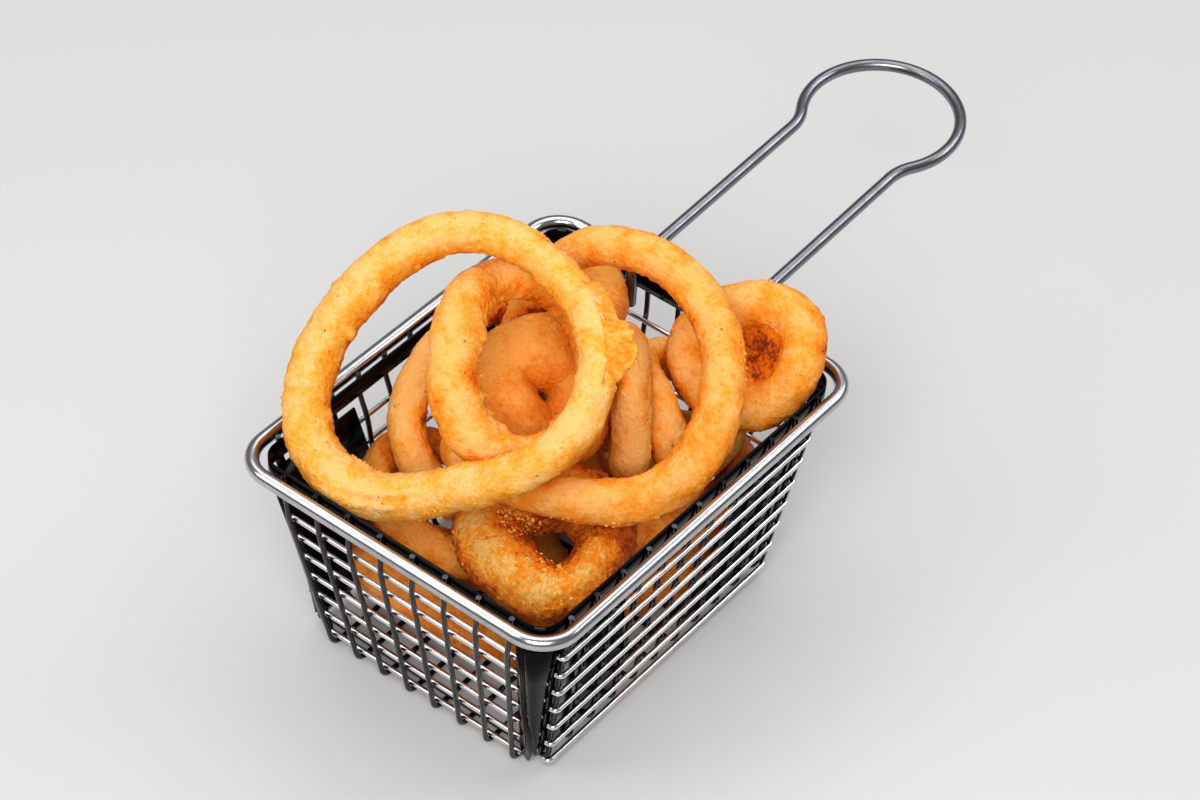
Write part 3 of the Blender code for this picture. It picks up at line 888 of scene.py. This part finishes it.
# %% Make a skin
def batter_skin(node, step, seed):
    """(points, their paleness, number of stations round the ring, number of columns round the tube)"""
    path = paths[node]
    centres = path["centres"]
    length = np.linalg.norm(np.roll(centres, -1, 0) - centres, axis=1).sum()
    count = int(length / step)
    centres = smooth_round(resample(centres, count), 3)
    radii = resample(path["radii"], count)
    sides = int(2 * math.pi * radii.mean() / step)
    tangents = np.roll(centres, -1, 0) - np.roll(centres, 1, 0)
    webs = [feature for feature in FEATURES.get(node, ()) if feature[2] >= WEB]
    nubs = [feature for feature in FEATURES.get(node, ()) if feature[2] < WEB]
    rough, ragged = ROUGHNESS.get(node, 1.0), RAGGED.get(node, PLAIN_RAGGED)
    others = tree_of_others(node)
    middle, offset = Vector(path["middle"]), Vector([seed * part for part in NOISE_SHIFT])
    places, paleness_and_shade = [], []
    for station in range(count):
        centre = Vector(centres[station])
        outward, upward = tube_directions(centre, Vector(tangents[station]).normalized(), path)
        turn_place = 2 * math.pi * (station / count + CUT_SHIFT / CUTS)
        for column in range(sides):
            tube_place = 2 * math.pi * column / sides
            direction = outward * math.cos(tube_place) + upward * math.sin(tube_place)
            rest = centre + direction * radii[station]
            sample = rest - middle + offset
            height, crease, grain = batter_height(sample, tube_place, rough, ragged)
            nub = feature_height(nubs, turn_place, tube_place, length, sample)
            web = feature_height(webs, turn_place, tube_place, length, sample)
            place = rest + direction * (height + nub + web)
            places.append(place)
            # Painted shade: darker where another ring is near, in the crevice between them.
            gap = others.find_nearest(place, CREVICE_SHADE_REACH)[3]
            crevice = 0.0 if gap is None else 1 - gap / CREVICE_SHADE_REACH
            tone = tone_with_painted_light(node, sample, direction, tube_place)
            # Painted light and shade: nubs and the grain's peaks are painted paler, webs and creases painted
            # darker.
            tone += min(0.25, max(-0.30, NUB_LIGHT_ADDS * nub / MM)) - min(0.35, WEB_SHADE_TAKES * web / MM)
            tone += GRAIN_LIGHT_ADDS * grain * rough - CREASE_SHADE_TAKES * crease - CREVICE_SHADE_TAKES * crevice
            paleness_and_shade.append(min(1.0, max(DEEPEST_TONE, tone)))
    return places, paleness_and_shade, count, sides


print("a skin carries the paleness of every point, from", DEEPEST_TONE, "to 1")

# %% Turn a skin into a piece
def skin_object(name, places, paleness_and_shade, count, sides, finish, closed=True):
    """A mesh of quads through the rows of points. An open one gets a face at each end."""
    faces = []
    for station in range(count if closed else count - 1):
        here, after = station * sides, (station + 1) % count * sides
        for column in range(sides):
            right = (column + 1) % sides
            faces.append((here + column, here + right, after + right, after + column))
    if not closed:
        faces.append(tuple(range(sides)))
        faces.append(tuple(range((count - 1) * sides, count * sides)))
    mesh = bpy.data.meshes.new(name)
    mesh.from_pydata(places, [], faces)
    mesh.update()
    shape = bmesh.new()
    shape.from_mesh(mesh)
    bmesh.ops.recalc_face_normals(shape, faces=shape.faces)
    shape.to_mesh(mesh)
    shape.free()
    mesh.shade_smooth()
    attribute = mesh.attributes.new("paleness_and_shade", "FLOAT", "POINT")
    attribute.data.foreach_set("value", paleness_and_shade)
    mesh.materials.append(finish)
    return add_object(name, mesh)


print("skins are made of quads, one row to a station")

# %% [markdown]
# ## Fried batter
#
# The colour runs from cream through gold to a deep orange brown, chosen by the number that each point
# carries, which holds painted light and shade as well as the batter's own tone, with two sizes of mottling
# over it and sparse dark specks from the frying oil. A little light goes into the crust, so it has weak
# subsurface scattering, and the oil leaves a soft uneven gloss.

# %% Parts of a batter finish
COLOUR_STOPS = (0.0, 0.14, 0.36, 0.64, 0.95)  # the paleness that each of a finish's five colours stands for
SPECK = (0.16, 0.045, 0.006, 1)


def math_node(nodes, links, operation, first, second, clamped=False):
    """Two values joined by a sum or a product."""
    made = nodes.new("ShaderNodeMath")
    made.operation = operation
    made.use_clamp = clamped
    links.new(first, made.inputs[0])
    links.new(second, made.inputs[1])
    return made.outputs[0]


def mottled(nodes, links, broad, fine, colours):
    """The colour at the point's own tone, painted light and shade included, shifted up and down by two sizes
    of mottling.
    """
    pale = nodes.new("ShaderNodeAttribute")
    pale.attribute_name = "paleness_and_shade"
    broad_shift = range_node(nodes, links, broad, 0.3, 0.7, -0.15, 0.17)
    fine_shift = range_node(nodes, links, fine, 0.3, 0.7, -0.17, 0.20)
    shifted = math_node(nodes, links, "ADD", broad_shift, pale.outputs["Fac"])
    shifted = math_node(nodes, links, "ADD", shifted, fine_shift)
    return ramp_node(nodes, links, shifted, list(zip(COLOUR_STOPS, colours)))


def with_specks(nodes, links, coordinates, colour):
    """The colour with dark specks, which a second noise lets through in few places."""
    specks = nodes.new("ShaderNodeTexVoronoi")
    specks.inputs["Scale"].default_value = 330
    specks.inputs["Randomness"].default_value = 1.0
    links.new(coordinates, specks.inputs["Vector"])
    rare = noise_node(nodes, links, 420, 1, 0.5, coordinates)
    spot = range_node(nodes, links, specks.outputs["Distance"], 0.10, 0.16, 1.0, 0.0)
    chosen = range_node(nodes, links, rare, 0.60, 0.66, 0.0, 0.75)
    speckled = nodes.new("ShaderNodeMix")
    speckled.data_type = "RGBA"
    links.new(math_node(nodes, links, "MULTIPLY", spot, chosen, True), speckled.inputs["Factor"])
    links.new(colour, speckled.inputs["A"])
    speckled.inputs["B"].default_value = SPECK
    return speckled.outputs["Result"]


print("batter colours sit at", COLOUR_STOPS)

# %% Batter finishes
PORE_DEPTH, CRUST_DEPTH = 0.5 * MM, 0.9 * MM


def batter(name, colours, gloss=0.50, rough_crust=1.0):
    """A batter finish. The colours go from the deepest to the palest."""
    made, nodes, links, shader = new_material(name)
    coordinates = nodes.new("ShaderNodeTexCoord").outputs["Object"]
    broad = noise_node(nodes, links, 190, 4, 0.6, coordinates)
    fine = noise_node(nodes, links, 900, 3, 0.6, coordinates)
    colour = with_specks(nodes, links, coordinates, mottled(nodes, links, broad, fine, colours))
    links.new(colour, shader.inputs["Base Color"])
    uneven = range_node(nodes, links, broad, 0.3, 0.7, gloss + 0.14, gloss - 0.10)
    links.new(uneven, shader.inputs["Roughness"])
    shader.inputs["Subsurface Weight"].default_value = 0.12
    shader.inputs["Subsurface Radius"].default_value = (1.0, 0.45, 0.15)
    shader.inputs["Subsurface Scale"].default_value = 1.5 * MM
    shader.inputs["Specular IOR Level"].default_value = 0.15
    shader.inputs["Coat Weight"].default_value = 0.04
    shader.inputs["Coat Roughness"].default_value = 0.25
    pores = noise_node(nodes, links, 1900, 3, 0.65, coordinates)
    crust = bump_node(nodes, links, fine, 0.8 * rough_crust, CRUST_DEPTH)
    skin = bump_node(nodes, links, pores, 0.75 * rough_crust, PORE_DEPTH, crust)
    links.new(skin, shader.inputs["Normal"])
    return made


PALE = batter("batter_pale", [
    (0.34, 0.055, 0.002), (0.76, 0.160, 0.005), (0.94, 0.30, 0.013),
    (0.97, 0.41, 0.046), (0.98, 0.52, 0.16),
])
GOLDEN = batter("batter_golden", [
    (0.28, 0.040, 0.002), (0.70, 0.125, 0.003), (0.94, 0.24, 0.008),
    (0.98, 0.345, 0.027), (0.99, 0.47, 0.12),
])
TANNED = batter("batter_tanned", [
    (0.24, 0.034, 0.002), (0.60, 0.105, 0.003), (0.84, 0.19, 0.007),
    (0.90, 0.27, 0.020), (0.93, 0.38, 0.06),
])
# Painted shade: the rings low in the heap get this darker finish, as little light reaches them.
DEEP_IN_SHADE = batter("batter_deep", [
    (0.18, 0.020, 0.001), (0.42, 0.060, 0.002), (0.68, 0.130, 0.004),
    (0.82, 0.22, 0.012), (0.90, 0.35, 0.05),
])
FLAKY = batter("batter_flaky", [
    (0.34, 0.040, 0.002), (0.66, 0.100, 0.003), (0.92, 0.21, 0.006),
    (0.98, 0.33, 0.018), (0.99, 0.54, 0.13),
], 0.55, 1.7)
print("batter finishes ready")

# %% Skin every ring
SEEN_STEP = 0.55 * MM
LOW_STEP = 1.1 * MM
FINISHES = {
    "ring_top": ("batter_pale", PALE),
    "ring_thick": ("batter_golden", TANNED),
    "ring_near_corner": ("batter_golden", FLAKY),
}
# The low and hidden rings get the darker finish, a painted shade.
for node in ("ring_back", "ring_front", "ring_side", "ring_low_middle", "ring_low_front", "ring_low_back"):
    FINISHES[node] = ("batter_deep", DEEP_IN_SHADE)

skins = {}
for seed, node in enumerate(rings, 1):
    step = LOW_STEP if "_low_" in node else SEEN_STEP
    slot, finish = FINISHES.get(node, ("batter_golden", GOLDEN))
    places, paleness_and_shade, count, sides = batter_skin(node, step, seed)
    skins[node] = (places, count, sides)
    piece = skin_object("battered_" + node, places, paleness_and_shade, count, sides, finish)
    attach(piece, "root")
    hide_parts(node)
    print(f"{node}: {count} by {sides} points")

# %% [markdown]
# ## The flap of batter
#
# One drip ran off the top ring's far side and fried into a thin ragged flap. A flap is a sheet, not a lump
# on a tube, so it gets its own skin: rows run out from the ring, and the outline comes from a few lobes.

# %% The flap's outline
FLAP_FROM, FLAP_TO = 16, 66  # degrees round the top ring
FLAP_LOBES = ((55, 7, 2.4), (45, 9, 2.2), (34, 9, 5.2), (28, 6, 3.2))  # middle, half width, reach in mm
FLAP_ROOT = 0.72  # where it leaves the ring, as a share of the tube's radius
ROOT_ABOVE, ROOT_BELOW = 0.62, 0.45  # how thick it is there, as shares of the same
EDGE_ABOVE, EDGE_BELOW = 0.5 * MM, 0.4 * MM  # and at its edge
EDGE_DROOP, EDGE_RAG = 1.0 * MM, 0.45 * MM
LUMP_HEIGHT = 0.42 * MM
TAPER_STEPS, TAPER_PULL, TAPER_DROP = 8, 2.2 * MM, 1.6 * MM  # how each end of the flap dies away


def ring_section(node, ring_angle):
    """(centre, outward, upward, tube radius) at a place round a ring."""
    path = paths[node]
    cut = (ring_angle / 360 * CUTS - CUT_SHIFT) % CUTS
    low, part = int(cut), cut - int(cut)
    centres, high = path["centres"], (low + 1) % CUTS
    centre = Vector(centres[low]).lerp(Vector(centres[high]), part)
    tangent = Vector(centres[high] - centres[low]).normalized()
    return centre, *tube_directions(centre, tangent, path), float(path["radii"][low])


def flap_reach(angle):
    """How far the flap stands out at that place round the ring."""
    lobes = []
    for middle, half, length in FLAP_LOBES:
        lobes.append(length * max(0.0, 1 - ((angle - middle) / half) ** 2) ** 0.6)
    return (0.6 * max(lobes) + 0.4 * sum(lobes)) * MM


print("the flap has", len(FLAP_LOBES), "lobes")

# %% Make the flap
def flap_skin(along_steps=90, out_steps=16):
    """A closed flat skin: its upper side going out, then its lower side coming back."""
    places, paleness_and_shade = [], []
    sides = 2 * out_steps
    for step in range(along_steps):
        angle = FLAP_FROM + (FLAP_TO - FLAP_FROM) * step / (along_steps - 1)
        centre, outward, upward, radius = ring_section("ring_top", angle)
        jag = 0.5 * noise.noise(Vector((angle * 0.5, 3, 1)))
        jag += 0.45 * noise.noise(Vector((angle * 1.5, 5, 2)))
        taper = max(0.0, 1 - min(step, along_steps - 1 - step) / TAPER_STEPS)
        reach = flap_reach(angle) * (1 + 0.30 * jag) + EDGE_RAG * jag - TAPER_PULL * taper
        for side in range(sides):
            out = side / out_steps if side < out_steps else 2 - side / out_steps
            if side < out_steps:
                rise = ROOT_ABOVE * radius * (1 - out) ** 1.4 + EDGE_ABOVE - TAPER_DROP * taper
            else:
                rise = -ROOT_BELOW * radius * (1 - out) ** 1.2 - EDGE_BELOW
            base = centre + outward * (radius * FLAP_ROOT + (reach + radius * 0.20) * out)
            lump = 0.45 * lumps(base, 2.4) + 0.40 * lumps(base, 0.95)
            rise *= math.sqrt(max(0.0, 1 - out ** 7))
            place = base + upward * (rise + LUMP_HEIGHT * lump - EDGE_DROOP * out ** 2)
            places.append(place)
            # Painted light: the flap's lumps are painted paler; it is also a little paler towards its edge.
            paleness_and_shade.append(min(1.0, max(0.0, 0.50 + 0.7 * lump + 0.12 * out)))
    return places, paleness_and_shade, along_steps, sides


places, paleness_and_shade, count, sides = flap_skin()
flap = skin_object("batter_flap", places, paleness_and_shade, count, sides, GOLDEN, closed=False)
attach(flap, "root")
print("flap reaches out", max(length for _, _, length in FLAP_LOBES), "mm")

# %% [markdown]
# ## Crumbs
#
# Bits of batter break off in the oil and stick where the crust is rough: on the flap's edge, in the torn
# hole of the near ring, along inner edges. They are tiny uneven grains, so one mesh holds them all.

# %% Where the crumbs are
# Each is (ring, from and to in degrees round it, from and to in degrees round the tube, how many).
CRUMBS = (
    ("ring_near_corner", 150, 255, 110, 190, 170), ("ring_near_corner", 185, 275, 0, 110, 90),
    ("ring_near_corner", 275, 330, 10, 150, 60), ("ring_top", 238, 270, 140, 200, 46),
    ("ring_top", 18, 60, -45, 30, 34), ("ring_top", 120, 250, -30, 20, 40),
    ("ring_top", 250, 320, -20, 60, 26), ("ring_inner", 190, 305, 140, 195, 60),
    ("ring_leaning", 215, 275, 90, 190, 34), ("ring_leaning", 285, 345, -25, 15, 36),
    ("ring_leaning", 20, 110, -20, 20, 18), ("ring_thick", 150, 320, 10, 60, 40),
    ("ring_far_corner", 0, 360, -20, 30, 26),
)
print("places with crumbs:", len(CRUMBS))

# %% Scatter the crumbs
SMALLEST, LARGEST = 0.4 * MM, 1.3 * MM
dice = random.Random(11)


def add_crumb(shape, place, size, number):
    """One uneven grain, added to the mesh at that place."""
    grain = bmesh.ops.create_icosphere(shape, subdivisions=2, radius=size / 2)["verts"]
    stretch = Vector((1, 0.6 + 0.5 * dice.random(), 0.5 + 0.5 * dice.random()))
    turned = math.tau * dice.random()
    spin = Matrix.Rotation(turned, 3, Vector((dice.random(), dice.random(), 1)).normalized())
    for vertex in grain:
        swell = 1 + 0.45 * noise.noise(vertex.co / (0.45 * size) + Vector((number * 3.1, 0, 0)))
        vertex.co = place + spin @ Vector([a * b * swell for a, b in zip(vertex.co, stretch)])


crumb_shape = bmesh.new()
total = 0
for node, first, last, low, high, amount in CRUMBS:
    for number in range(amount):
        places, count, sides = skins[node]
        station = int(dice.uniform(first, last) / 360 * count - CUT_SHIFT * count / CUTS) % count
        column = int(dice.uniform(low, high) / 360 * sides) % sides
        size = SMALLEST + (LARGEST - SMALLEST) * dice.random() ** 2.5
        add_crumb(crumb_shape, places[station * sides + column], size, total)
        total += 1
crumb_mesh = bpy.data.meshes.new("crumbs")
crumb_shape.to_mesh(crumb_mesh)
crumb_shape.free()
crumb_mesh.shade_smooth()
values = [0.55 + 0.4 * dice.random() for vertex in crumb_mesh.vertices]
crumb_mesh.attributes.new("paleness_and_shade", "FLOAT", "POINT").data.foreach_set("value", values)
crumb_mesh.materials.append(GOLDEN)
crumbs = add_object("crumbs", crumb_mesh)
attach(crumbs, "root")
print("crumbs:", total)
